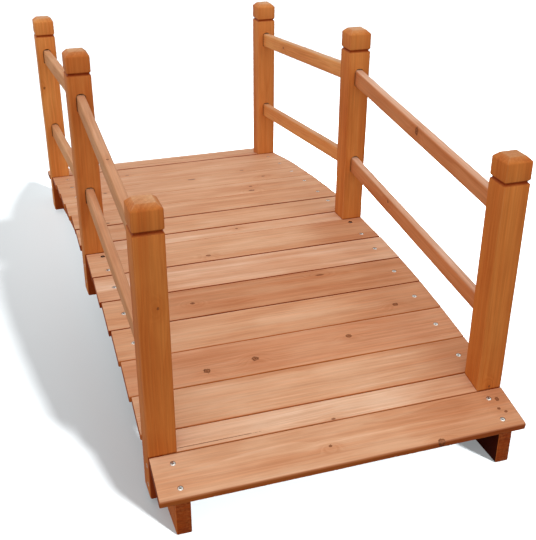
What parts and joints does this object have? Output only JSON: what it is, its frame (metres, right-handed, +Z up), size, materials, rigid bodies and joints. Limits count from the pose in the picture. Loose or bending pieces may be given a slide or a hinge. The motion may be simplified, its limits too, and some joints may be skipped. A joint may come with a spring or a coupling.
{
  "type": "garden bridge",
  "caption": "Arched wooden garden bridge with a plank deck on two curved stringers and a post and rail handrail on each side.",
  "frame": {"origin": "on the ground under the middle of the deck", "axes": "+X across the bridge to the right, +Y along the bridge away from the near end, +Z up"},
  "size_m": [0.6, 1.379, 0.554],
  "materials": {
    "deck_wood": "stained softwood planks with fine grain, satin",
    "post_wood": "stained softwood, orange brown, satin",
    "rail_wood": "stained softwood, orange brown, satin",
    "stringer_wood": "stained softwood, satin",
    "screw_steel": "zinc plated countersunk screws"
  },
  "bodies": {
    "root": {"left_stringer": "stringer_wood", "right_stringer": "stringer_wood", "near_end_board": "deck_wood", "near_post_board": "deck_wood", "near_board_1": "deck_wood", "near_board_2": "deck_wood", "near_board_3": "deck_wood", "near_board_4": "deck_wood", "near_board_5": "deck_wood", "near_board_6": "deck_wood", "middle_post_board": "deck_wood", "far_board_1": "deck_wood", "far_board_2": "deck_wood", "far_board_3": "deck_wood", "far_board_4": "deck_wood", "far_board_5": "deck_wood", "far_board_6": "deck_wood", "far_post_board": "deck_wood", "far_end_board": "deck_wood", "near_left_post": "post_wood", "near_right_post": "post_wood", "middle_left_post": "post_wood", "middle_right_post": "post_wood", "far_left_post": "post_wood", "far_right_post": "post_wood", "near_left_upper_rail": "rail_wood", "near_left_lower_rail": "rail_wood", "near_right_upper_rail": "rail_wood", "near_right_lower_rail": "rail_wood", "far_left_upper_rail": "rail_wood", "far_left_lower_rail": "rail_wood", "far_right_upper_rail": "rail_wood", "far_right_lower_rail": "rail_wood"}
  },
  "joints": []
}
